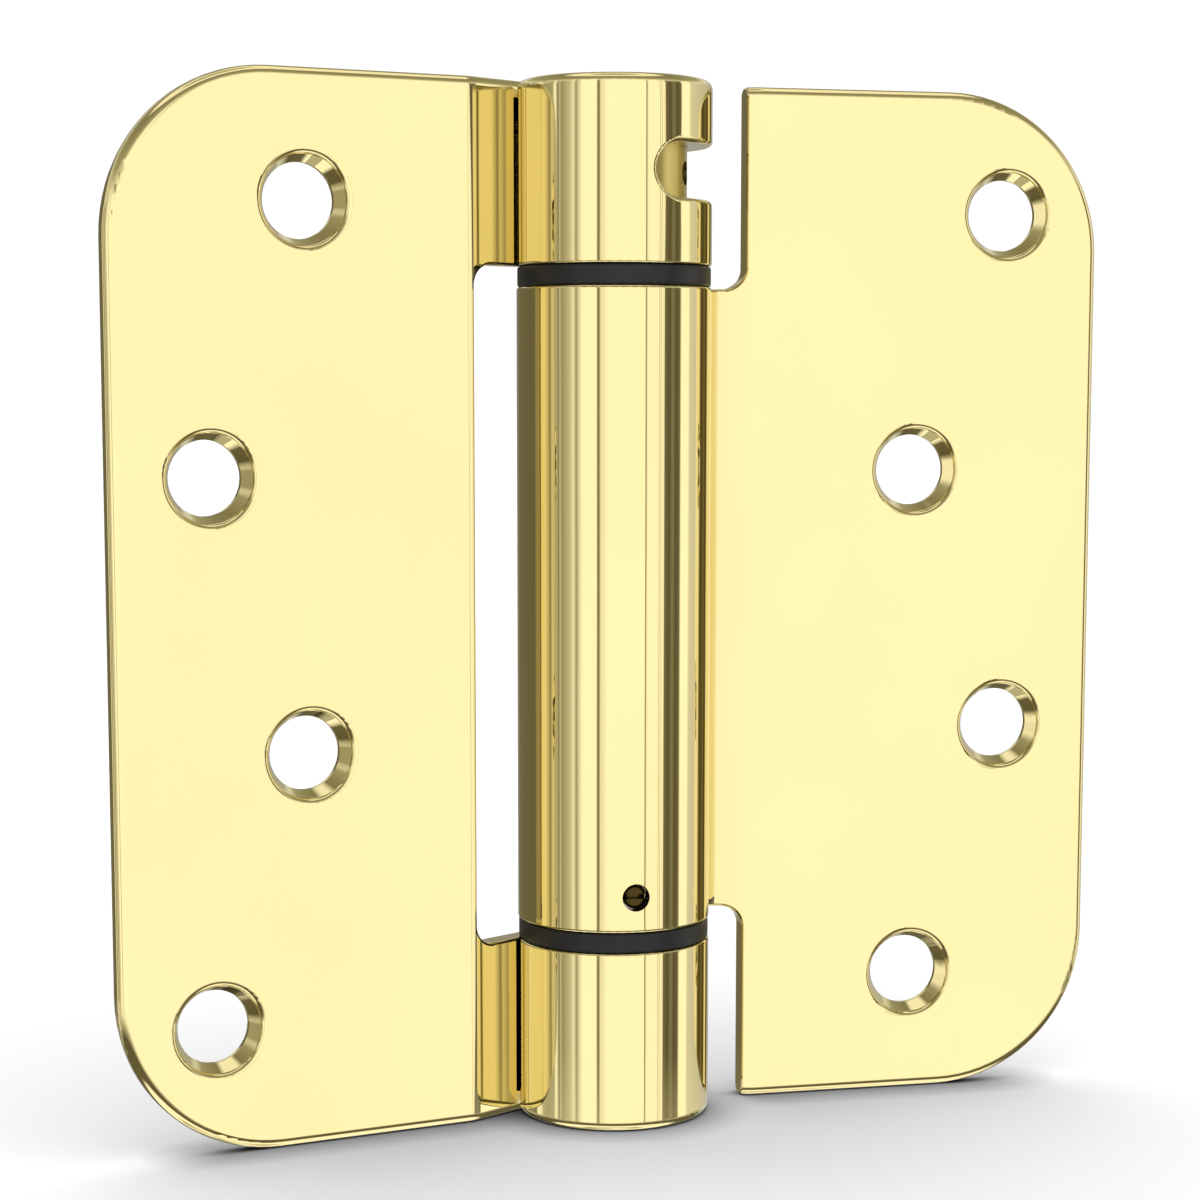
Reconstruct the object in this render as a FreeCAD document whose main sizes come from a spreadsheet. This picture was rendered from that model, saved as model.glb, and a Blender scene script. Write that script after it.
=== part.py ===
import FreeCAD, Part
import Sketcher
import math
import os

# Spring hinge for a household door. Units are millimetres and degrees.
# Frame: +Z up the barrel axis, -Y towards the countersunk faces, origin on the axis at mid-height.
# The knuckle leaf lies along -X; the barrel leaf stands folded from flat by rest_fold.

SIZES = {
    # Leaves, rolled from one gauge of sheet
    "leaf_height": 101.6,
    "leaf_width": 50.8,
    "sheet_thickness": 2.4,
    "leaf_offset": 0.8,
    "corner_radius": 15.875,
    "barrel_radius": 9.525,
    "swage_angle": 19.0,
    "bend_start": 15.2,
    "crease_radius": 0.6,
    "shoulder_radius": 5.2,
    "seam_gap": 0.28,
    "edge_round": 0.9,
    "joint_edge_round": 0.3,
    "rest_fold": 13.5,
    # Lengths along the axis
    "knuckle_length": 17.7,
    "ring_height": 2.0,
    "axial_play": 0.05,
    # Cut-outs that leave room for the other leaf
    "window_reach": 14.5,
    "cutout_reach": 13.75,
    "cut_corner_radius": 2.0,
    "cut_past": 2.0,
    # Countersunk screw holes, staggered in two columns
    "screw_hole_diameter": 7.1,
    "countersink_diameter": 8.7,
    "countersink_angle": 46.0,
    "sink_edge_round": 0.6,
    "inner_column": 31.6,
    "outer_column": 41.1,
    "high_row": 38.7,
    "low_row": 13.1,
    # Tension slot in the top knuckle, angles from -Y towards +X
    "slot_height": 5.2,
    "slot_start": 16.0,
    "slot_sweep": 100.0,
    "slot_edge_round": 0.5,
    # Bearing rings
    "ring_inset": 0.08,
    "ring_edge_round": 0.25,
    "sleeve_length": 6.0,
    "press_clearance": 0.02,
    "running_clearance": 0.05,
    "journal_radius": 5.0,
    # Tension collar
    "collar_head_length": 13.2,
    "collar_hole_diameter": 2.3,
    "collar_hole_floor": 3.5,
    "collar_hole_phase": 50.0,
    "collar_chamfer": 0.5,
    # Spring and the spigots that hold its ends
    "wire_diameter": 2.2,
    "tang_diameter": 2.0,
    "spring_bore_clearance": 0.375,
    "coil_pitch": 2.3,
    "spring_seat_gap": 0.1,
    "spigot_clearance": 0.15,
    "spigot_length": 6.0,
    "tang_clearance": 0.1,
    # Anchor plug and its set screw
    "plug_length": 8.0,
    "axle_length": 9.6,
    "axle_chamfer": 0.6,
    "screw_rise": 3.5,
    "screw_diameter": 2.3,
    "screw_pocket_diameter": 2.7,
    "screw_recess": 0.7,
    "screw_length": 6.0,
    "screw_end_gap": 0.4,
    "screw_slot_width": 0.5,
    "screw_slot_depth": 0.7,
    # Washer and end caps
    "washer_thickness": 0.8,
    "washer_bore_radius": 3.0,
    "cap_recess": 1.0,
    "cap_length": 4.0,
    "cap_chamfer": 0.4,
}
COLLAR_HOLES = 6
TOUCH = 0.01

# Sizes that follow from the ones above
DERIVED = {
    "half_height": "leaf_height / 2",
    "bore_radius": "barrel_radius - sheet_thickness",
    "leaf_back": "leaf_offset + sheet_thickness",
    "knuckle_end": "half_height - knuckle_length",
    "barrel_end": "knuckle_end - ring_height",
    "knuckle_middle": "(half_height + knuckle_end) / 2",
    "crease_front_radius": "crease_radius + sheet_thickness",
    "crease_depth": "leaf_offset + crease_front_radius",
    "crease_past_axis": "bend_start * sin(swage_angle * 1 deg) + crease_depth * cos(swage_angle * 1 deg)",
    "slope_offset": "crease_past_axis - crease_front_radius",
    "free_end_angle": "swage_angle + acos((slope_offset - seam_gap) / barrel_radius) / 1 deg",
    "window_past": "barrel_radius + cut_past",
    "slot_inner": "bore_radius - cut_past",
    "slot_bottom": "knuckle_middle - slot_height / 2",
    "slot_top": "knuckle_middle + slot_height / 2",
    "slot_end": "slot_start + slot_sweep",
    "height_past": "half_height + cut_past",
    "flange_radius": "barrel_radius - ring_inset",
    "flange_thickness": "ring_height - axial_play",
    "sleeve_radius": "bore_radius - press_clearance",
    "sleeve_bore_radius": "journal_radius + running_clearance",
    "collar_radius": "bore_radius - running_clearance",
    "spring_radius": "bore_radius - spring_bore_clearance - wire_diameter / 2",
    "collar_top": "knuckle_end + collar_head_length",
    "collar_spigot_top": "barrel_end - sleeve_length",
    "collar_bottom": "collar_spigot_top - spigot_length",
    "collar_slot_past": "collar_bottom - cut_past",
    "collar_chamfer_radius": "collar_radius - collar_chamfer",
    "collar_chamfer_level": "collar_top - collar_chamfer",
    "spigot_radius": "spring_radius - wire_diameter / 2 - spigot_clearance",
    "tang_slot_width": "tang_diameter + 2 * tang_clearance",
    "tang_slot_side": "tang_slot_width / 2",
    "tang_reach": "spring_radius + wire_diameter / 2 - spigot_clearance",
    "tang_length": "tang_reach + spigot_radius",
    "plug_top": "plug_length - barrel_end",
    "anchor_top": "plug_top + spigot_length",
    "anchor_slot_past": "anchor_top + cut_past",
    "axle_bottom": "-(barrel_end + axle_length)",
    "axle_chamfer_radius": "journal_radius - axle_chamfer",
    "axle_chamfer_level": "axle_bottom + axle_chamfer",
    "barrel_bottom": "-barrel_end",
    "screw_level": "screw_rise - barrel_end",
    "screw_outer_end": "barrel_radius - screw_recess",
    "screw_inner_end": "screw_outer_end - screw_length",
    "screw_bore_floor": "screw_inner_end - screw_end_gap",
    "screw_bore_diameter": "screw_diameter + 2 * press_clearance",
    "screw_slot_bottom": "screw_level - screw_slot_width / 2",
    "screw_slot_top": "screw_level + screw_slot_width / 2",
    "screw_slot_past": "screw_diameter / 2 + cut_past",
    "spring_bottom": "plug_top + spring_seat_gap + wire_diameter / 2",
    "spring_top": "collar_spigot_top - spring_seat_gap - wire_diameter / 2",
    "spring_rise": "spring_top - spring_bottom",
    "spring_part_turn": "0.5 + (collar_hole_phase + rest_fold) / 360",
    "spring_turns": "spring_part_turn + floor(spring_rise / coil_pitch - spring_part_turn)",
    "washer_bottom": "collar_top + axial_play",
    "washer_top": "washer_bottom + washer_thickness",
    "cap_outer_face": "half_height - cap_recess",
    "cap_rim_level": "cap_outer_face - cap_chamfer",
    "cap_rim_radius": "sleeve_radius - cap_chamfer",
    "bottom_cap_inner_face": "cap_outer_face - cap_length",
}


def make_sizes(doc):
    """The sheet of driving sizes, with the sizes that follow from them below."""
    sheet = doc.addObject("Spreadsheet::Sheet", "Sizes")
    row = 0
    for name, value in list(SIZES.items()) + list(DERIVED.items()):
        row += 1
        text = str(value) if name in SIZES else "=" + value
        sheet.set(f"A{row}", name)
        sheet.set(f"B{row}", text)
        sheet.setAlias(f"B{row}", name)
    doc.recompute()
    return sheet


def size(name):
    """The present value of a size, with an optional leading minus."""
    sign = -1.0 if name.startswith("-") else 1.0
    value = getattr(sheet, name.lstrip("-"))
    return sign * float(getattr(value, "Value", value))


def bound(name):
    """The expression that ties a property to a size."""
    return "-Sizes." + name[1:] if name.startswith("-") else "Sizes." + name


def new_body(label):
    body = doc.addObject("PartDesign::Body", label)
    body.Label = label
    return body


def new_sketch(body, name, role, offset=None, turn=None):
    """A sketch on one of the body's origin planes, turned about its upright and moved along its normal."""
    sketch = body.newObject("Sketcher::SketchObject", name)
    plane = next(p for p in body.Origin.OriginFeatures if p.Role == role)
    sketch.AttachmentSupport = (plane, [""])
    sketch.MapMode = "FlatFace"
    if turn:
        upright = FreeCAD.Vector(0, 1, 0)
        sketch.AttachmentOffset = FreeCAD.Placement(FreeCAD.Vector(), FreeCAD.Rotation(upright, 1.0))
        sketch.setExpression("AttachmentOffset.Rotation.Angle", turn)
    if offset and turn:
        sketch.setExpression("AttachmentOffset.Base.x", f"{bound(offset)} * sin({turn})")
        sketch.setExpression("AttachmentOffset.Base.z", f"{bound(offset)} * cos({turn})")
    elif offset:
        sketch.setExpression("AttachmentOffset.Base.z", bound(offset))
    doc.recompute()
    return sketch


def place_point(sketch, geometry, point, x_name, y_name):
    """Ties a sketch point to two sizes. A name of None leaves the point on that axis."""
    if x_name:
        index = sketch.addConstraint(
            Sketcher.Constraint("DistanceX", -1, 1, geometry, point, size(x_name))
        )
        sketch.setExpression(f"Constraints[{index}]", bound(x_name))
    else:
        sketch.addConstraint(Sketcher.Constraint("PointOnObject", geometry, point, -2))
    if y_name:
        index = sketch.addConstraint(
            Sketcher.Constraint("DistanceY", -1, 1, geometry, point, size(y_name))
        )
        sketch.setExpression(f"Constraints[{index}]", bound(y_name))
    else:
        sketch.addConstraint(Sketcher.Constraint("PointOnObject", geometry, point, -1))


def add_outline(sketch, corners):
    """A closed outline of straight lines through corners, each a pair of size names."""
    points = [
        FreeCAD.Vector(size(x) if x else 0.0, size(y) if y else 0.0, 0.0) for x, y in corners
    ]
    count = len(points)
    first = sketch.GeometryCount
    for i in range(count):
        sketch.addGeometry(Part.LineSegment(points[i], points[(i + 1) % count]), False)
    for i in range(count):
        following = first + (i + 1) % count
        sketch.addConstraint(Sketcher.Constraint("Coincident", first + i, 2, following, 1))
    for i, (x_name, y_name) in enumerate(corners):
        place_point(sketch, first + i, 1, x_name, y_name)


def add_circle(sketch, x_name, y_name, diameter_name):
    """A circle whose centre and diameter are tied to sizes."""
    centre = FreeCAD.Vector(size(x_name) if x_name else 0.0, size(y_name) if y_name else 0.0, 0.0)
    up = FreeCAD.Vector(0, 0, 1)
    circle = sketch.addGeometry(Part.Circle(centre, up, size(diameter_name) / 2), False)
    index = sketch.addConstraint(
        Sketcher.Constraint("Diameter", circle, size(diameter_name))
    )
    sketch.setExpression(f"Constraints[{index}]", bound(diameter_name))
    place_point(sketch, circle, 3, x_name, y_name)


def feature(body, kind, name, sketch):
    made = body.newObject("PartDesign::" + kind, name)
    made.Profile = sketch
    return made


def settle(body, made, grows, base=None):
    """Recomputes a feature and makes sure that it adds or takes away material."""
    base = base or made.BaseFeature
    before = base.Shape.Volume if base else 0.0
    doc.recompute()
    after = made.Shape.Volume
    if made.State and made.State[0] in ("Invalid", "Error"):
        raise ValueError(f"{body.Label}: {made.Name} failed")
    if (after > before) != grows:
        raise ValueError(f"{body.Label}: {made.Name} changed {before:.2f} to {after:.2f}")
    return made


def pocket(body, name, sketch, both_ways=False, reverse=False, depth=None):
    """Cuts a sketch through everything, or to a depth."""
    cut = feature(body, "Pocket", name, sketch)
    if depth:
        cut.Type = 0
        cut.setExpression("Length", bound(depth))
    else:
        cut.Type = 1
    cut.Midplane = both_ways
    cut.Reversed = reverse
    return settle(body, cut, grows=False)


def turned_body(label, corners):
    """A piece turned on a lathe: corners are pairs of radius and height."""
    body = new_body(label)
    sketch = new_sketch(body, label + "_section", "XZ_Plane")
    add_outline(sketch, corners)
    turn = feature(body, "Revolution", label + "_turned", sketch)
    turn.ReferenceAxis = (sketch, ["V_Axis"])
    turn.Angle = 360.0
    settle(body, turn, grows=True)
    return body


def edge_names(shape, wanted):
    """Names of the edges that a test picks out."""
    return [f"Edge{i + 1}" for i, edge in enumerate(shape.Edges) if wanted(edge)]


def fillet(body, name, wanted, radius, grows=False):
    """Rounds the picked edges of the body as built so far. An inside corner gains material."""
    tip = body.Tip
    rounded = body.newObject("PartDesign::Fillet", name)
    rounded.Base = (tip, edge_names(tip.Shape, wanted))
    rounded.setExpression("Radius", radius)
    return settle(body, rounded, grows)


def sheet_section(sketch):
    """The rolled sheet seen along the axis: leaf, crease, slope, shoulder, and the roll."""
    swage = math.radians(size("swage_angle"))
    slope_normal = FreeCAD.Vector(-math.sin(swage), math.cos(swage), 0)
    slope_way = FreeCAD.Vector(math.cos(swage), math.sin(swage), 0)
    radius = {
        "crease_front": size("crease_front_radius"),
        "crease_back": size("crease_radius"),
        "shoulder_front": size("shoulder_radius"),
        "shoulder_back": size("shoulder_radius") - size("sheet_thickness"),
        "roll_front": size("bore_radius"),
        "roll_back": size("barrel_radius"),
    }
    depth = {"front": size("leaf_offset"), "back": size("leaf_back")}
    width, bend_start = size("leaf_width"), size("bend_start")
    up = FreeCAD.Vector(0, 0, 1)
    down = -math.pi / 2

    # The crease's centre is behind the leaf, the shoulder's behind the slope and beside the roll
    crease = FreeCAD.Vector(-bend_start, size("crease_depth"), 0)
    shoulder_offset = size("slope_offset") + radius["shoulder_front"]
    shoulder_reach = radius["roll_front"] + radius["shoulder_front"]
    shoulder_back_off = math.sqrt(shoulder_reach**2 - shoulder_offset**2)
    shoulder = slope_normal * shoulder_offset - slope_way * shoulder_back_off
    roll_start = math.atan2(shoulder.y, shoulder.x)
    end = math.radians(90 + size("free_end_angle"))
    end_way = FreeCAD.Vector(math.cos(end), math.sin(end), 0)

    # Each bend turns anticlockwise; the roll does so from its free end to the shoulder
    arcs = {
        "crease": (crease, down, down + swage),
        "shoulder": (shoulder, down + swage, roll_start + math.pi),
        "roll": (FreeCAD.Vector(), end, roll_start + 2 * math.pi),
    }
    number = {}
    for side, y in depth.items():
        start, finish = FreeCAD.Vector(-width, y, 0), FreeCAD.Vector(-bend_start, y, 0)
        number[side] = sketch.addGeometry(Part.LineSegment(start, finish), False)
        start = crease - slope_normal * radius["crease_" + side]
        finish = shoulder - slope_normal * radius["shoulder_" + side]
        number["slope_" + side] = sketch.addGeometry(Part.LineSegment(start, finish), False)
        for name, (centre, first, last) in arcs.items():
            key = name + "_" + side
            arc = Part.ArcOfCircle(Part.Circle(centre, up, radius[key]), first, last)
            number[key] = sketch.addGeometry(arc, False)
    end_line = Part.LineSegment(end_way * radius["roll_front"], end_way * radius["roll_back"])
    number["end"] = sketch.addGeometry(end_line, False)
    corners = [FreeCAD.Vector(-width, depth["front"], 0), FreeCAD.Vector(-width, depth["back"], 0)]
    number["edge"] = sketch.addGeometry(Part.LineSegment(*corners), False)

    def tie(kind, *parts):
        sketch.addConstraint(Sketcher.Constraint(kind, *parts))

    for end_point, side in enumerate(depth, start=1):
        tie("Tangent", number[side], 2, number["crease_" + side], 1)
        tie("Tangent", number["crease_" + side], 2, number["slope_" + side], 1)
        tie("Tangent", number["slope_" + side], 2, number["shoulder_" + side], 1)
        tie("Tangent", number["shoulder_" + side], 2, number["roll_" + side], 2)
        tie("Horizontal", number[side])
        tie("Coincident", number["end"], end_point, number["roll_" + side], 1)
        tie("Coincident", number["edge"], end_point, number[side], 1)
        tie("Coincident", number["roll_" + side], 3, -1, 1)
    tie("Vertical", number["edge"])
    tie("Coincident", number["crease_front"], 3, number["crease_back"], 3)
    tie("Coincident", number["shoulder_front"], 3, number["shoulder_back"], 3)
    tie("PointOnObject", -1, 1, number["end"])

    def measure(kind, *parts, name):
        index = sketch.addConstraint(Sketcher.Constraint(kind, *parts, size(name)))
        sketch.setExpression(f"Constraints[{index}]", bound(name))

    measure("Radius", number["roll_back"], name="barrel_radius")
    measure("Radius", number["roll_front"], name="bore_radius")
    measure("Radius", number["crease_back"], name="crease_radius")
    measure("Radius", number["crease_front"], name="crease_front_radius")
    measure("Radius", number["shoulder_front"], name="shoulder_radius")
    measure("DistanceX", -1, 1, number["front"], 2, name="-bend_start")
    measure("DistanceX", -1, 1, number["edge"], 1, name="-leaf_width")
    measure("DistanceY", -1, 1, number["edge"], 1, name="leaf_offset")
    slope = sketch.addConstraint(Sketcher.Constraint("Angle", number["slope_front"], swage))
    sketch.setExpression(f"Constraints[{slope}]", "Sizes.swage_angle * 1 deg")
    free_end = sketch.addConstraint(Sketcher.Constraint("Angle", number["end"], end))
    sketch.setExpression(f"Constraints[{free_end}]", "(90 + Sizes.free_end_angle) * 1 deg")


def rolled_sheet(label):
    """The sheet at its full height, before anything is cut from it."""
    body = new_body(label)
    section = new_sketch(body, label + "_section", "XY_Plane")
    sheet_section(section)
    pad = feature(body, "Pad", label + "_sheet", section)
    pad.Type = 0
    pad.Midplane = True
    pad.setExpression("Length", bound("leaf_height"))
    settle(body, pad, grows=True)
    return body


def points_along(edge):
    """Both ends of an edge and a point between them."""
    first, last = edge.ParameterRange
    return [edge.valueAt(first + (last - first) * share) for share in (0.0, 0.37, 1.0)]


def on_line(edge, x=None, y=None, z=None):
    """True where every point of an edge lies at the given coordinates."""
    for axis, value in (("x", x), ("y", y), ("z", z)):
        if value is None:
            continue
        if any(abs(getattr(point, axis) - value) > TOUCH for point in points_along(edge)):
            return False
    return True


def round_leaf_corners(body):
    """The large radius at the two free corners of a leaf."""
    width, half = size("leaf_width"), size("half_height")

    def corner(edge):
        return on_line(edge, x=-width, z=half) or on_line(edge, x=-width, z=-half)

    fillet(body, body.Label + "_corners", corner, bound("corner_radius"))


def add_cut_outline(sketch, reach, low, high, rounded):
    """The outline of a cut into a leaf, with the inside corners rounded at the levels named."""
    near, far = -size(reach), size("window_past")
    bottom, top = size(low), size(high)
    radius = size("cut_corner_radius")
    inset = {level: radius if level in rounded else 0.0 for level in (low, high)}
    sides = [
        ((near + inset[low], bottom), (far, bottom), "Horizontal", "DistanceY", low),
        ((far, bottom), (far, top), "Vertical", "DistanceX", "window_past"),
        ((far, top), (near + inset[high], top), "Horizontal", "DistanceY", high),
        ((near, top - inset[high]), (near, bottom + inset[low]), "Vertical", "DistanceX", "-" + reach),
    ]
    for number, (start, end, way, distance, name) in enumerate(sides):
        line = Part.LineSegment(FreeCAD.Vector(*start, 0), FreeCAD.Vector(*end, 0))
        sketch.addGeometry(line, False)
        sketch.addConstraint(Sketcher.Constraint(way, number))
        index = sketch.addConstraint(Sketcher.Constraint(distance, -1, 1, number, 1, size(name)))
        sketch.setExpression(f"Constraints[{index}]", bound(name))
    for number in (0, 1):
        sketch.addConstraint(Sketcher.Constraint("Coincident", number, 2, number + 1, 1))
    joins = (
        (low, 3, 0, bottom + radius, math.pi),
        (high, 2, 3, top - radius, math.pi / 2),
    )
    for level, before, after, centre_y, angle in joins:
        if level not in rounded:
            sketch.addConstraint(Sketcher.Constraint("Coincident", before, 2, after, 1))
            continue
        circle = Part.Circle(
            FreeCAD.Vector(near + radius, centre_y, 0), FreeCAD.Vector(0, 0, 1), radius
        )
        arc = sketch.addGeometry(Part.ArcOfCircle(circle, angle, angle + math.pi / 2), False)
        sketch.addConstraint(Sketcher.Constraint("Tangent", before, 2, arc, 1))
        sketch.addConstraint(Sketcher.Constraint("Tangent", arc, 2, after, 1))
        index = sketch.addConstraint(Sketcher.Constraint("Radius", arc, radius))
        sketch.setExpression(f"Constraints[{index}]", bound("cut_corner_radius"))


def cut_window(body):
    """The middle of the roll is cut away, back into the leaf, for the other leaf's barrel."""
    sketch = new_sketch(body, body.Label + "_window_outline", "XZ_Plane")
    ends = ("-knuckle_end", "knuckle_end")
    add_cut_outline(sketch, "window_reach", *ends, rounded=ends)
    pocket(body, body.Label + "_window", sketch, both_ways=True)


def cut_ends(body):
    """Both ends of the roll are cut away, back into the leaf, for the other leaf's knuckles."""
    cuts = {
        "upper": ("barrel_end", "height_past", ["barrel_end"]),
        "lower": ("-height_past", "-barrel_end", ["-barrel_end"]),
    }
    for name, (low, high, rounded) in cuts.items():
        sketch = new_sketch(body, f"{body.Label}_{name}_outline", "XZ_Plane")
        add_cut_outline(sketch, "cutout_reach", low, high, rounded)
        pocket(body, f"{body.Label}_{name}_cut", sketch, both_ways=True)


def drill_screw_holes(body):
    """Four countersunk holes, alternately in the column near the barrel and the outer one."""
    sketch = new_sketch(body, body.Label + "_hole_centres", "XZ_Plane", offset="-leaf_offset")
    places = [
        ("-inner_column", "high_row"),
        ("-outer_column", "low_row"),
        ("-inner_column", "-low_row"),
        ("-outer_column", "-high_row"),
    ]
    for x_name, z_name in places:
        add_circle(sketch, x_name, z_name, "screw_hole_diameter")
    doc.recompute()
    hole = feature(body, "Hole", body.Label + "_screw_holes", sketch)
    hole.DepthType = 1
    hole.setExpression("Diameter", bound("screw_hole_diameter"))
    hole.HoleCutType = "Countersink"
    hole.HoleCutCustomValues = True
    hole.setExpression("HoleCutDiameter", bound("countersink_diameter"))
    hole.setExpression("HoleCutCountersinkAngle", bound("countersink_angle"))
    settle(body, hole, grows=False)

    def mouth(edge):
        return edge.isClosed() and on_line(edge, y=size("leaf_offset"))

    fillet(body, body.Label + "_hole_mouths", mouth, bound("sink_edge_round"))


def slot_mouth(edge):
    """True for the edges where the tension slot meets the outside of the roll."""
    level, radius = size("knuckle_middle"), size("barrel_radius")
    reach = size("slot_height") / 2 + TOUCH
    return all(
        abs(point.z - level) < reach and abs(math.hypot(point.x, point.y) - radius) < TOUCH
        for point in points_along(edge)
    )


def cut_tension_slot(body):
    """A round-ended slot part of the way round the top knuckle."""
    label = body.Label + "_slot"
    middle_way = "(Sizes.slot_start + Sizes.slot_sweep / 2 - 90) * 1 deg"
    section = new_sketch(body, label + "_section", "XZ_Plane", turn=middle_way)
    add_outline(
        section,
        [
            ("slot_inner", "slot_bottom"),
            ("window_past", "slot_bottom"),
            ("window_past", "slot_top"),
            ("slot_inner", "slot_top"),
        ],
    )
    groove = feature(body, "Groove", label + "_sweep", section)
    groove.ReferenceAxis = (section, ["V_Axis"])
    groove.Midplane = True
    groove.setExpression("Angle", "Sizes.slot_sweep * 1 deg")
    settle(body, groove, grows=False)
    for name in ("slot_start", "slot_end"):
        end = new_sketch(body, f"{label}_{name}", "XZ_Plane", turn=f"Sizes.{name} * 1 deg")
        add_circle(end, None, "knuckle_middle", "slot_height")
        pocket(body, f"{label}_{name}_round", end, reverse=True)
    fillet(body, label + "_mouth", slot_mouth, bound("slot_edge_round"))


def leaf_rim(edge):
    """True for the edges round a leaf's own outline: its ends, its free side and its corners."""
    width, half = size("leaf_width"), size("half_height")
    if on_line(edge, z=half) or on_line(edge, z=-half):
        return True
    if edge.isClosed():
        return False
    on_face = on_line(edge, y=size("leaf_offset")) or on_line(edge, y=size("leaf_back"))
    return on_face and edge.BoundBox.XMax < size("corner_radius") - width + TOUCH


def cut_rim(level, reach, inside):
    """A test for the edges round a cut-out, and round the ends of the roll beside it."""
    corner = size("cut_corner_radius")

    def test(edge):
        box = edge.BoundBox
        if box.ZLength < TOUCH:
            return abs(abs(box.ZMin) - level) < TOUCH
        height = max(abs(box.ZMin), abs(box.ZMax)) if inside else min(abs(box.ZMin), abs(box.ZMax))
        in_cut = height < level + TOUCH if inside else height > level - TOUCH
        beside = box.XMin > -reach - TOUCH and box.XMax < corner - reach + TOUCH
        return in_cut and beside

    return test


def knuckle_leaf():
    body = rolled_sheet("knuckle_leaf")
    round_leaf_corners(body)
    fillet(body, "knuckle_leaf_rim", leaf_rim, bound("edge_round"))
    cut_window(body)
    window_rim = cut_rim(size("knuckle_end"), size("window_reach"), True)
    fillet(body, "knuckle_leaf_window_rim", window_rim, bound("joint_edge_round"))
    cut_tension_slot(body)
    drill_screw_holes(body)
    return body


def barrel_leaf():
    """Built like the knuckle leaf, then turned half over and folded, so that it lies along +X."""
    body = rolled_sheet("barrel_leaf")
    round_leaf_corners(body)
    fillet(body, "barrel_leaf_rim", leaf_rim, bound("edge_round"))
    cut_ends(body)
    end_rim = cut_rim(size("barrel_end"), size("cutout_reach"), False)
    fillet(body, "barrel_leaf_end_rim", end_rim, bound("joint_edge_round"))
    drill_screw_holes(body)
    opening = new_sketch(body, "barrel_leaf_screw_opening", "XZ_Plane")
    add_circle(opening, None, "-screw_level", "screw_pocket_diameter")
    pocket(body, "barrel_leaf_screw_pocket", opening, reverse=True)
    fold = "rotation(vector(0; 0; 1); -Sizes.rest_fold)"
    half_over = "rotation(vector(0; 1; 0); 180)"
    body.setExpression("Placement", f"placement(vector(0; 0; 0); {fold} * {half_over})")
    return body


def turn_about_axis(body, angle):
    """Turns a piece about the barrel's axis."""
    turn = f"rotation(vector(0; 0; 1); {angle})"
    body.setExpression("Placement", f"placement(vector(0; 0; 0); {turn})")


def bearing_ring(label, seat):
    """A flanged plastic ring: the flange lies on the seat and the sleeve hangs in the bore below."""
    corners = [
        ("sleeve_bore_radius", "-sleeve_length"),
        ("sleeve_radius", "-sleeve_length"),
        ("sleeve_radius", None),
        ("flange_radius", None),
        ("flange_radius", "flange_thickness"),
        ("sleeve_bore_radius", "flange_thickness"),
    ]
    body = turned_body(label, corners)

    def flange_edge(edge):
        return abs(edge.BoundBox.XMax - size("flange_radius")) < TOUCH and edge.isClosed()

    fillet(body, label + "_flange_round", flange_edge, bound("ring_edge_round"))
    body.setExpression("Placement.Base.z", bound(seat))
    return body


def cut_tang_slot(body, low, high):
    """A slot across a spigot for the spring's end, along the piece's own X."""
    sketch = new_sketch(body, body.Label + "_tang_slot_outline", "YZ_Plane")
    corners = [
        ("-tang_slot_side", low),
        ("tang_slot_side", low),
        ("tang_slot_side", high),
        ("-tang_slot_side", high),
    ]
    add_outline(sketch, corners)
    pocket(body, body.Label + "_tang_slot", sketch, both_ways=True)


def tension_collar():
    """The collar that winds the spring: head in the top knuckle, journal in the ring, slotted spigot."""
    corners = [
        (None, "collar_bottom"),
        ("spigot_radius", "collar_bottom"),
        ("spigot_radius", "collar_spigot_top"),
        ("journal_radius", "collar_spigot_top"),
        ("journal_radius", "knuckle_end"),
        ("collar_radius", "knuckle_end"),
        ("collar_radius", "collar_chamfer_level"),
        ("collar_chamfer_radius", "collar_top"),
        (None, "collar_top"),
    ]
    body = turned_body("tension_collar", corners)
    cut_tang_slot(body, "collar_slot_past", "collar_spigot_top")
    hole = new_sketch(body, "tension_collar_hole", "XZ_Plane", offset="collar_hole_floor")
    add_circle(hole, None, "knuckle_middle", "collar_hole_diameter")
    drilled = pocket(body, "tension_collar_drilled", hole, reverse=True)
    ring = body.newObject("PartDesign::PolarPattern", "tension_collar_hole_ring")
    ring.Originals = [drilled]
    ring.Axis = (next(a for a in body.Origin.OriginFeatures if a.Role == "Z_Axis"), [""])
    ring.Angle = 360.0
    ring.Occurrences = COLLAR_HOLES
    body.Tip = ring
    settle(body, ring, grows=False, base=drilled)
    turn_about_axis(body, "Sizes.collar_hole_phase")
    return body


def spring_anchor():
    """The plug that holds the spring's lower end: axle below, plug in the barrel, slotted spigot."""
    corners = [
        (None, "axle_bottom"),
        ("axle_chamfer_radius", "axle_bottom"),
        ("journal_radius", "axle_chamfer_level"),
        ("journal_radius", "barrel_bottom"),
        ("sleeve_radius", "barrel_bottom"),
        ("sleeve_radius", "plug_top"),
        ("spigot_radius", "plug_top"),
        ("spigot_radius", "anchor_top"),
        (None, "anchor_top"),
    ]
    body = turned_body("spring_anchor", corners)
    cut_tang_slot(body, "plug_top", "anchor_slot_past")
    bore = new_sketch(body, "spring_anchor_screw_bore", "XZ_Plane", offset="screw_bore_floor")
    add_circle(bore, None, "screw_level", "screw_bore_diameter")
    pocket(body, "spring_anchor_drilled", bore, reverse=True)
    turn_about_axis(body, "-Sizes.rest_fold")
    return body


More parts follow.
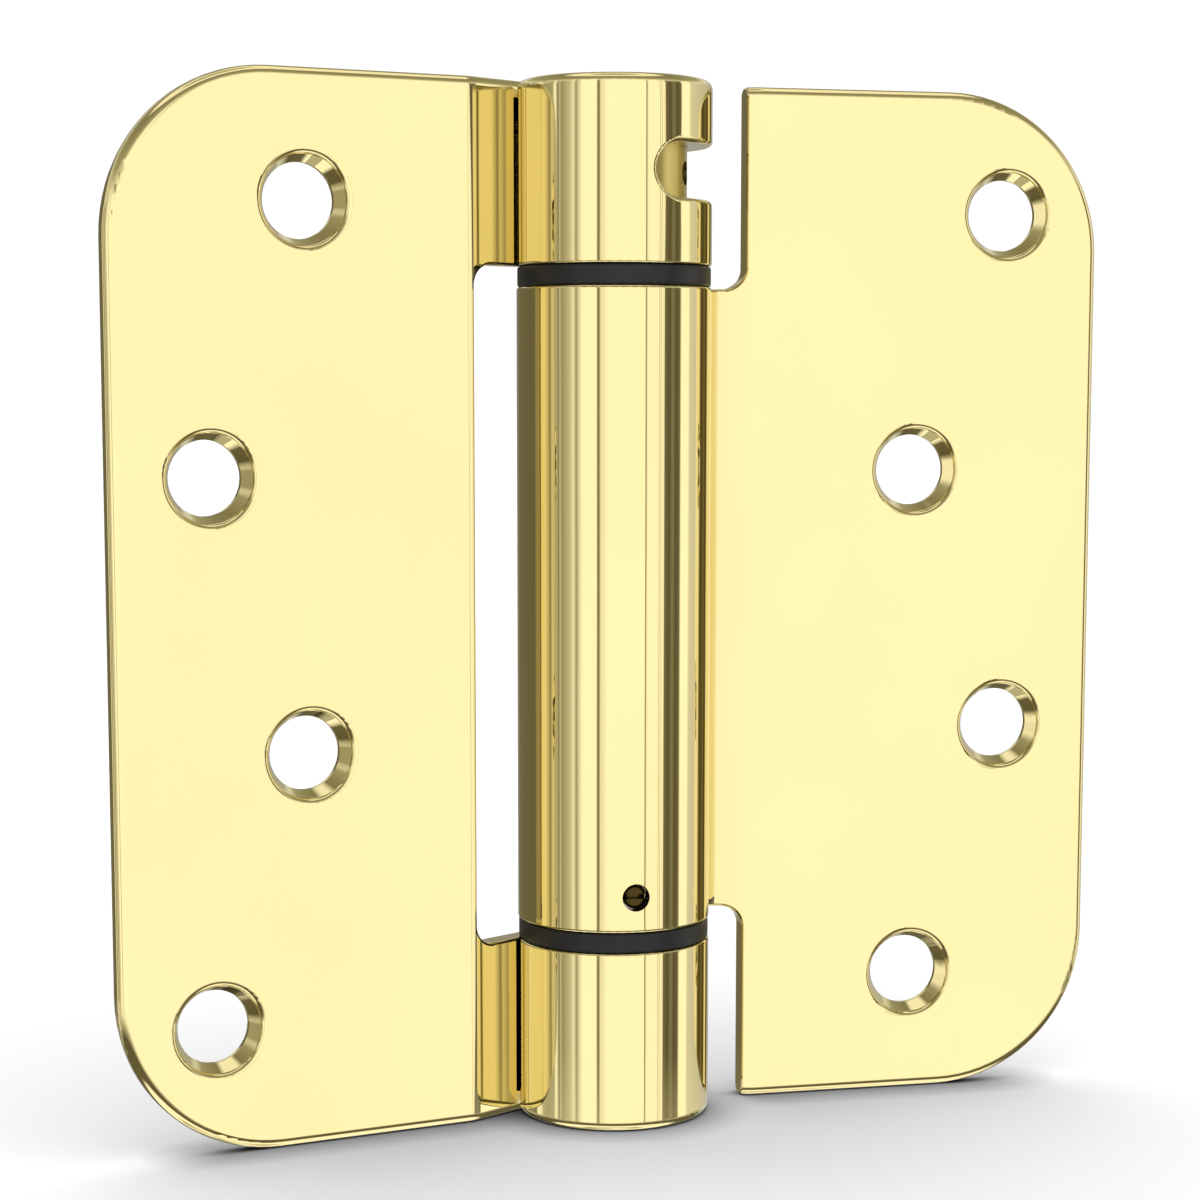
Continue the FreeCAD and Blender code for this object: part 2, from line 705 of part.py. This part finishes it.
def anchor_screw():
    """The slotted set screw that locks the anchor plug in the barrel."""
    body = new_body("anchor_screw")
    shank = new_sketch(body, "anchor_screw_section", "XZ_Plane", offset="screw_inner_end")
    add_circle(shank, None, "screw_level", "screw_diameter")
    pad = feature(body, "Pad", "anchor_screw_shank", shank)
    pad.Type = 0
    pad.setExpression("Length", bound("screw_length"))
    settle(body, pad, grows=True)
    slot = new_sketch(body, "anchor_screw_slot_outline", "XZ_Plane", offset="screw_outer_end")
    corners = [
        ("-screw_slot_past", "screw_slot_bottom"),
        ("screw_slot_past", "screw_slot_bottom"),
        ("screw_slot_past", "screw_slot_top"),
        ("-screw_slot_past", "screw_slot_top"),
    ]
    add_outline(slot, corners)
    pocket(body, "anchor_screw_slot", slot, depth="screw_slot_depth")
    turn_about_axis(body, "-Sizes.rest_fold")
    return body


def torsion_spring():
    """The coil in the barrel, with each end bent in across a spigot's slot."""
    body = new_body("torsion_spring")
    wire = new_sketch(body, "torsion_spring_wire", "XZ_Plane")
    add_circle(wire, "spring_radius", "spring_bottom", "wire_diameter")
    coil = feature(body, "AdditiveHelix", "torsion_spring_coil", wire)
    coil.ReferenceAxis = (wire, ["V_Axis"])
    coil.Mode = "height-turns-angle"
    coil.setExpression("Height", bound("spring_rise"))
    coil.setExpression("Turns", bound("spring_turns"))
    settle(body, coil, grows=True)
    ends = (("lower", "spring_bottom", "0 deg"), ("upper", "spring_top", "Sizes.spring_turns * 360 deg"))
    for name, level, way in ends:
        end = new_sketch(
            body, f"torsion_spring_{name}_end", "YZ_Plane", offset="tang_reach", turn=way
        )
        add_circle(end, None, level, "tang_diameter")
        tang = feature(body, "Pad", f"torsion_spring_{name}_tang", end)
        tang.Type = 0
        tang.Reversed = True
        tang.setExpression("Length", bound("tang_length"))
        settle(body, tang, grows=True)
    turn_about_axis(body, "-Sizes.rest_fold")
    return body


def collar_washer():
    """The plain washer between the collar and the top cap."""
    corners = [
        ("washer_bore_radius", "washer_bottom"),
        ("collar_radius", "washer_bottom"),
        ("collar_radius", "washer_top"),
        ("washer_bore_radius", "washer_top"),
    ]
    return turned_body("collar_washer", corners)


def end_cap(label, sign, inner_face):
    """A chamfered plug pressed into the outer end of a knuckle."""
    corners = [
        (None, inner_face),
        ("sleeve_radius", inner_face),
        ("sleeve_radius", sign + "cap_rim_level"),
        ("cap_rim_radius", sign + "cap_outer_face"),
        (None, sign + "cap_outer_face"),
    ]
    return turned_body(label, corners)


def check_document(bodies):
    """Stops before writing if anything in the document failed."""
    doc.recompute()
    failed = [o.Name for o in doc.Objects if "Invalid" in o.State or "Error" in o.State]
    bad = [b.Label for b in bodies if b.Shape.isNull() or not b.Shape.isValid()]
    if failed or bad:
        raise ValueError(f"failed features {failed}, bad shapes {bad}")


doc = FreeCAD.newDocument("spring_hinge")
sheet = make_sizes(doc)
bodies = [
    knuckle_leaf(),
    barrel_leaf(),
    bearing_ring("upper_bearing_ring", "barrel_end"),
    bearing_ring("lower_bearing_ring", "-knuckle_end"),
    tension_collar(),
    torsion_spring(),
    spring_anchor(),
    anchor_screw(),
    collar_washer(),
    end_cap("top_cap", "", "washer_top"),
    end_cap("bottom_cap", "-", "-bottom_cap_inner_face"),
]
check_document(bodies)
os.makedirs("parts", exist_ok=True)
for body in bodies:
    body.Shape.exportStep(f"parts/{body.Label}.step")
    solids = len(body.Shape.Solids)
    print(f"{body.Label}: {solids} solid, {body.Shape.Volume:.1f} mm3")
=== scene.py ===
import math

import bpy
from mathutils import Matrix, Vector


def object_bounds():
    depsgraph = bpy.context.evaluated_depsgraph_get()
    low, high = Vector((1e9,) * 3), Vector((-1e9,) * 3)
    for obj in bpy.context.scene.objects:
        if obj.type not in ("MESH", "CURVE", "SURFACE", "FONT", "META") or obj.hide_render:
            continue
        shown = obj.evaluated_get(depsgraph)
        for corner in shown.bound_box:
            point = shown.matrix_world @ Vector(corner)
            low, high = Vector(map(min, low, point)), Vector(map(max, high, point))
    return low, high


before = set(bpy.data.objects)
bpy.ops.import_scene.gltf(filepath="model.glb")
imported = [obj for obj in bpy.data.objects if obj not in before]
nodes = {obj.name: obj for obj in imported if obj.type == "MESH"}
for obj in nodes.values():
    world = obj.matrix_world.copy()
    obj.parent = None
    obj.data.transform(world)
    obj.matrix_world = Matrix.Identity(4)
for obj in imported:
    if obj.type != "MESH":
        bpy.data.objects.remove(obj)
cad_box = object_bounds()

# Camera, fitted to the photograph
CAMERA_PLACE = (-0.12219, -0.23998, 0.02220)
CAMERA_RIGHT = (0.8934, -0.4492, 0.0005)
CAMERA_FORWARD = (0.4462, 0.8873, -0.1166)
CAMERA_LENS_MM = 81.93
CAMERA_SENSOR_MM = 36.0
CAMERA_SHIFT_Y = 0.0833

# Metals: the two colours that each drifts between, and its range of roughness
METALS = {
    "polished_brass": ((0.715, 0.612, 0.3), (0.73, 0.625, 0.312), (0.01, 0.03)),
    "collar_brass": ((0.56, 0.455, 0.15), (0.6, 0.485, 0.165), (0.27, 0.35)),
    "screw_bronze": ((0.045, 0.03, 0.008), (0.09, 0.06, 0.015), (0.16, 0.26)),
    "inner_steel": ((0.5, 0.5, 0.51), (0.6, 0.6, 0.61), (0.25, 0.4)),
    "spring_steel": ((0.2, 0.2, 0.21), (0.3, 0.3, 0.31), (0.3, 0.42)),
}
PLASTICS = {
    "black_nylon": ((0.01, 0.01, 0.0105), (0.015, 0.015, 0.016), (0.36, 0.46)),
}
FINISHES = {
    "knuckle_leaf": "polished_brass",
    "barrel_leaf": "polished_brass",
    "top_cap": "polished_brass",
    "bottom_cap": "polished_brass",
    "upper_bearing_ring": "black_nylon",
    "lower_bearing_ring": "black_nylon",
    "tension_collar": "collar_brass",
    "torsion_spring": "spring_steel",
    "spring_anchor": "inner_steel",
    "anchor_screw": "screw_bronze",
    "collar_washer": "inner_steel",
}

# Textures, in cells per metre, and the heights of bumps, in metres
METAL_DRIFT_SCALE = 38.0
METAL_SMEAR_SCALE = 260.0
SHEET_WAVE_SCALE = 45.0
SHEET_WAVE_HEIGHT = 0.00003
PLASTIC_MOTTLE_SCALE = 900.0
PLASTIC_GLOSS_SCALE = 1500.0
PLASTIC_GRAIN_SCALE = 2600.0
PLASTIC_GRAIN_HEIGHT = 0.00002
PLASTIC_GRAIN_STRENGTH = 0.4
PLASTIC_SPECULAR = 0.3

# The set screw sits deep in its opening, so its rim and the opening's wall are in shade:
# the middle of its outer face, distances from there in metres, and the share of colour in shade
SCREW_FACE = (-0.00206, -0.00858, -0.0276)
SCREW_RIM = (0.0008, 0.00098)
OPENING_WALL = (0.00146, 0.0015)
SHADED_SHARE = 0.04

# Floor, level with the hinge's lower end, and its light
FLOOR_LEVEL = cad_box[0][2]
FLOOR_SIDE = 6.0
PAPER_TONES = ((0.9, 0.9, 0.9), (0.92, 0.92, 0.92))
PAPER_SCALE = 3.0
PAPER_ROUGHNESS = 0.8
CONTACT_SHADOW_REACH = 0.005
SKY_STRENGTH = 2.6
FILL_STRENGTH = 1.35
SKY_SPREAD = 120.0
SKY_FROM = (0.2, 0.0, 1.0)

# Room that the metal mirrors
ROOM_BRIGHTNESS = 1.52
BACKDROP_BRIGHTNESS = 1.05
WHITE = (1.0, 1.0, 1.0)
# Share of green and blue in a panel: in a black one, and how much more in a white one
PANEL_GREEN = (0.89, 0.29)
PANEL_BLUE = (0.52, 0.84)
# Walls at about the hinge's own level: bearing in degrees from -Y towards +X, brightness
WALLS_LEFT = [
    (-180.0, 0.13),
    (-134.0, 0.12),
    (-131.0, 0.85),
    (-125.0, 0.85),
    (-122.0, 0.4),
    (-115.0, 0.3),
    (-103.0, 0.35),
    (-101.0, 0.85),
    (-99.0, 0.85),
    (-96.0, 0.15),
    (-93.5, 0.5),
    (-91.0, 0.28),
    (-80.0, 0.5),
    (-76.0, 0.76),
    (-74.5, 0.72),
    (-72.5, 0.33),
    (-71.5, 0.33),
    (-69.0, 0.62),
    (-64.0, 1.0),
    (-47.5, 1.0),
    (-46.0, 0.2),
    (-44.0, 0.2),
    (-42.5, 0.78),
    (-38.0, 0.85),
    (-35.0, 1.0),
    (0.0, 1.0),
]
WALLS_RIGHT = [
    (0.0, 1.0),
    (10.2, 1.0),
    (10.9, 0.15),
    (11.7, 0.15),
    (12.3, 0.98),
    (13.2, 0.86),
    (14.2, 0.98),
    (27.2, 0.98),
    (28.0, 0.4),
    (28.8, 0.98),
    (29.5, 0.98),
    (30.2, 0.42),
    (30.9, 0.98),
    (32.0, 0.96),
    (32.7, 0.7),
    (33.4, 0.98),
    (34.2, 0.98),
    (35.2, 0.15),
    (42.0, 0.09),
    (46.5, 0.2),
    (51.0, 0.09),
    (57.0, 0.14),
    (59.5, 1.0),
    (70.5, 1.0),
    (74.0, 0.62),
    (180.0, 0.13),
]
# Tiers above and below the walls: height angle in degrees, brightness
TIERS = [
    (-90.0, 0.9),
    (-80.0, 0.9),
    (-75.0, 0.25),
    (-70.0, 1.0),
    (-54.0, 1.0),
    (-49.0, 0.12),
    (-30.0, 0.1),
    (-22.0, 0.45),
    (-16.0, 0.95),
    (6.0, 0.95),
    (18.0, 0.75),
    (32.0, 0.3),
    (58.0, 0.2),
    (63.0, 0.85),
    (73.0, 0.85),
    (78.0, 0.4),
    (90.0, 0.38),
]
# Height angles between which the walls pass into the tiers
LEVEL_BAND = (14.0, 24.0)
# Darker panel behind the hinge on the way down to the floor, in the tiers
REAR_HALF_WIDTH = 17.0
REAR_SHARE = 0.42

# Sockets of a colour Mix node, by number because other kinds of Mix use the same names
MIX_FAC, MIX_FIRST, MIX_SECOND, MIX_RESULT = 0, 6, 7, 2


def find_shader(tree):
    return next(node for node in tree.nodes if node.type == "BSDF_PRINCIPLED")


def new_material(name):
    material = bpy.data.materials.new(name)
    material.use_nodes = True
    tree = material.node_tree
    return material, tree, find_shader(tree)


def add_node(tree, kind, **settings):
    """A node with its inputs and other settings given by name."""
    made = tree.nodes.new(kind)
    for name, value in settings.items():
        if name in made.inputs:
            made.inputs[name].default_value = value
        else:
            setattr(made, name, value)
    return made


def math_node(tree, operation, *values):
    """One step of arithmetic on sockets and plain numbers."""
    made = add_node(tree, "ShaderNodeMath", operation=operation)
    for index, value in enumerate(values):
        if isinstance(value, (int, float)):
            made.inputs[index].default_value = value
        else:
            tree.links.new(value, made.inputs[index])
    return made.outputs[0]


def noise(tree, scale, detail=2.0):
    """Noise in the object's own coordinates."""
    place = add_node(tree, "ShaderNodeTexCoord")
    made = add_node(tree, "ShaderNodeTexNoise", Scale=scale, Detail=detail)
    tree.links.new(place.outputs["Object"], made.inputs["Vector"])
    return made.outputs["Fac"]


def ramp(tree, fac, low, high, start=0.35, end=0.65):
    """A two-colour ramp driven by a texture."""
    made = add_node(tree, "ShaderNodeValToRGB")
    first, last = made.color_ramp.elements
    first.position, first.color = start, (*low, 1.0)
    last.position, last.color = end, (*high, 1.0)
    tree.links.new(fac, made.inputs["Fac"])
    return made.outputs["Color"]


def spread(tree, fac, low, high, start=0.0, end=1.0):
    """A texture mapped onto a range of plain numbers."""
    made = add_node(tree, "ShaderNodeMapRange")
    made.inputs["From Min"].default_value = start
    made.inputs["From Max"].default_value = end
    made.inputs["To Min"].default_value = low
    made.inputs["To Max"].default_value = high
    tree.links.new(fac, made.inputs["Value"])
    return made.outputs["Result"]


def bump(tree, shader, fac, distance, strength=1.0):
    made = add_node(tree, "ShaderNodeBump", Strength=strength, Distance=distance)
    tree.links.new(fac, made.inputs["Height"])
    tree.links.new(made.outputs["Normal"], shader.inputs["Normal"])


def metal(name, low, high, rough):
    """Plated or bare metal: its colour drifts a little, and handling marks vary its gloss."""
    material, tree, shader = new_material(name)
    shader.inputs["Metallic"].default_value = 1.0
    drift = noise(tree, METAL_DRIFT_SCALE, detail=3.0)
    tree.links.new(ramp(tree, drift, low, high), shader.inputs["Base Color"])
    smear = noise(tree, METAL_SMEAR_SCALE, detail=4.0)
    tree.links.new(spread(tree, smear, *rough), shader.inputs["Roughness"])
    return material


def plastic(name, low, high, rough):
    """Moulded plastic: mottled, with a fine grain."""
    material, tree, shader = new_material(name)
    mottle = noise(tree, PLASTIC_MOTTLE_SCALE, detail=3.0)
    tree.links.new(ramp(tree, mottle, low, high), shader.inputs["Base Color"])
    gloss = noise(tree, PLASTIC_GLOSS_SCALE)
    tree.links.new(spread(tree, gloss, *rough), shader.inputs["Roughness"])
    shader.inputs["Specular IOR Level"].default_value = PLASTIC_SPECULAR
    grain = noise(tree, PLASTIC_GRAIN_SCALE)
    bump(tree, shader, grain, PLASTIC_GRAIN_HEIGHT, PLASTIC_GRAIN_STRENGTH)
    return material


def wave_sheet(material):
    """Rolled sheet isn't quite flat, which shows in what it mirrors."""
    tree = material.node_tree
    wave = noise(tree, SHEET_WAVE_SCALE, detail=1.0)
    bump(tree, find_shader(tree), wave, SHEET_WAVE_HEIGHT)


def shade_by_distance(material, centre, near, far, start, end):
    """Scales a colour from one share to another over a range of distances from a point."""
    tree = material.node_tree
    colour_input = find_shader(tree).inputs["Base Color"]
    place = add_node(tree, "ShaderNodeTexCoord")
    reach = add_node(tree, "ShaderNodeVectorMath", operation="DISTANCE")
    reach.inputs[1].default_value = centre
    tree.links.new(place.outputs["Object"], reach.inputs[0])
    scaled = add_node(tree, "ShaderNodeVectorMath", operation="SCALE")
    tree.links.new(colour_input.links[0].from_socket, scaled.inputs[0])
    share = spread(tree, reach.outputs["Value"], near, far, start, end)
    tree.links.new(share, scaled.inputs["Scale"])
    tree.links.new(scaled.outputs["Vector"], colour_input)


def finish_nodes():
    materials = {name: metal(name, *look) for name, look in METALS.items()}
    materials.update((name, plastic(name, *look)) for name, look in PLASTICS.items())
    wave_sheet(materials["polished_brass"])
    shade_by_distance(materials["screw_bronze"], SCREW_FACE, 1.0, SHADED_SHARE, *SCREW_RIM)
    shade_by_distance(materials["polished_brass"], SCREW_FACE, SHADED_SHARE, 1.0, *OPENING_WALL)
    for name, finish in FINISHES.items():
        for slot in nodes[name].material_slots:
            slot.material = materials[finish]


def make_floor():
    """Pale paper that runs out of sight. Mirroring metal looks past it to the room."""
    bpy.ops.mesh.primitive_plane_add(size=FLOOR_SIDE, location=(0.0, 0.0, FLOOR_LEVEL))
    floor = bpy.context.object
    floor.name = "studio_floor"
    material, tree, shader = new_material("studio_floor_paper")
    tone = ramp(tree, noise(tree, PAPER_SCALE), *PAPER_TONES)
    # Painted contact shadow: the paper's colour is darker close to what stands on it
    painted_contact_shadow = add_node(tree, "ShaderNodeAmbientOcclusion", Distance=CONTACT_SHADOW_REACH)
    tree.links.new(tone, painted_contact_shadow.inputs["Color"])
    tree.links.new(painted_contact_shadow.outputs["Color"], shader.inputs["Base Color"])
    shader.inputs["Roughness"].default_value = PAPER_ROUGHNESS
    shader.inputs["Specular IOR Level"].default_value = 0.0
    floor.data.materials.append(material)
    floor.visible_glossy = False


def add_sun(name, strength, shadows):
    """Soft light for the floor, which metal doesn't mirror."""
    data = bpy.data.lights.new(name, "SUN")
    data.energy = strength
    data.angle = math.radians(SKY_SPREAD)
    data.use_shadow = shadows
    light = bpy.data.objects.new(name, data)
    light.rotation_euler = Vector(SKY_FROM).to_track_quat("Z", "Y").to_euler()
    light.visible_glossy = False
    bpy.context.scene.collection.objects.link(light)


def panel_colour(light):
    """Bright panels are white. The darker a panel is, the warmer."""
    shares = (base + more * light for base, more in (PANEL_GREEN, PANEL_BLUE))
    return (light, *(light * min(1.0, share) for share in shares))


def panel_ramp(tree, angle, stops):
    """The room along a range of angles, from pairs of degrees and brightness."""
    made = add_node(tree, "ShaderNodeValToRGB")
    elements = made.color_ramp.elements
    start, end = stops[0][0], stops[-1][0]
    for index, (degrees, light) in enumerate(stops):
        place = (degrees - start) / (end - start)
        stop = elements[index] if index < 2 else elements.new(place)
        stop.position = place
        stop.color = (*panel_colour(light), 1.0)
    share = spread(tree, angle, 0.0, 1.0, math.radians(start), math.radians(end))
    tree.links.new(share, made.inputs["Fac"])
    return made.outputs["Color"]


def blend_colours(tree, fac, first, second):
    mix = add_node(tree, "ShaderNodeMix", data_type="RGBA")
    tree.links.new(fac, mix.inputs[MIX_FAC])
    tree.links.new(first, mix.inputs[MIX_FIRST])
    tree.links.new(second, mix.inputs[MIX_SECOND])
    return mix.outputs[MIX_RESULT]


def dim_rear(tree, colour, bearing, z):
    """Darkens the panel behind the hinge, below its level."""
    turned = math_node(tree, "ABSOLUTE", bearing)
    behind = math_node(tree, "GREATER_THAN", turned, math.radians(180.0 - REAR_HALF_WIDTH))
    in_panel = math_node(tree, "MULTIPLY", behind, math_node(tree, "LESS_THAN", z, 0.0))
    shade = ramp(tree, in_panel, WHITE, panel_colour(REAR_SHARE), start=0.0, end=1.0)
    dimmed = add_node(tree, "ShaderNodeVectorMath", operation="MULTIPLY")
    tree.links.new(colour, dimmed.inputs[0])
    tree.links.new(shade, dimmed.inputs[1])
    return dimmed.outputs["Vector"]


def room_colour(tree):
    """The room by direction: walls at about the hinge's level, tiers above and below."""
    place = add_node(tree, "ShaderNodeTexCoord")
    split = add_node(tree, "ShaderNodeSeparateXYZ")
    tree.links.new(place.outputs["Generated"], split.inputs["Vector"])
    x, y, z = split.outputs
    bearing = math_node(tree, "ARCTAN2", x, math_node(tree, "MULTIPLY", y, -1.0))
    height = math_node(tree, "ARCSINE", z)

    on_right = math_node(tree, "GREATER_THAN", bearing, 0.0)
    left = panel_ramp(tree, bearing, WALLS_LEFT)
    walls = blend_colours(tree, on_right, left, panel_ramp(tree, bearing, WALLS_RIGHT))
    tiers = dim_rear(tree, panel_ramp(tree, height, TIERS), bearing, z)
    level_end, tier_start = (math.radians(angle) for angle in LEVEL_BAND)
    steep = spread(tree, math_node(tree, "ABSOLUTE", height), 0.0, 1.0, level_end, tier_start)
    return blend_colours(tree, steep, walls, tiers)


def make_room():
    """A bright room whose darker panels show as streaks in the polished barrel."""
    world = bpy.data.worlds.new("studio")
    bpy.context.scene.world = world
    world.use_nodes = True
    tree = world.node_tree
    output = next(node for node in tree.nodes if node.type == "OUTPUT_WORLD")
    room = next(node for node in tree.nodes if node.type == "BACKGROUND")
    tree.links.new(room_colour(tree), room.inputs["Color"])

    # The floor takes no light from the room, neither straight nor by way of the metal
    world.cycles_visibility.diffuse = False
    sight = add_node(tree, "ShaderNodeLightPath")
    direct = math_node(tree, "SUBTRACT", 1.0, sight.outputs["Diffuse Depth"])
    direct.node.use_clamp = True
    brightness = math_node(tree, "MULTIPLY", direct, ROOM_BRIGHTNESS)
    tree.links.new(brightness, room.inputs["Strength"])

    # The backdrop behind the hinge is plain
    backdrop = add_node(
        tree, "ShaderNodeBackground", Color=(*WHITE, 1.0), Strength=BACKDROP_BRIGHTNESS
    )
    choice = add_node(tree, "ShaderNodeMixShader")
    tree.links.new(sight.outputs["Is Camera Ray"], choice.inputs[0])
    tree.links.new(room.outputs[0], choice.inputs[1])
    tree.links.new(backdrop.outputs[0], choice.inputs[2])
    tree.links.new(choice.outputs[0], output.inputs["Surface"])


def make_camera():
    data = bpy.data.cameras.new("camera")
    data.lens = CAMERA_LENS_MM
    data.sensor_width = CAMERA_SENSOR_MM
    data.shift_y = CAMERA_SHIFT_Y
    camera = bpy.data.objects.new("camera", data)
    bpy.context.scene.collection.objects.link(camera)
    forward = Vector(CAMERA_FORWARD).normalized()
    right = Vector(CAMERA_RIGHT).normalized()
    up = right.cross(forward)
    axes = Matrix((right, up, -forward)).transposed().to_4x4()
    camera.matrix_world = Matrix.Translation(Vector(CAMERA_PLACE)) @ axes
    bpy.context.scene.camera = camera


finish_nodes()
make_floor()
add_sun("sky_light", SKY_STRENGTH, shadows=True)
add_sun("fill_light", FILL_STRENGTH, shadows=False)
make_room()
make_camera()
bpy.context.scene.view_settings.view_transform = "Standard"

bpy.context.view_layer.update()
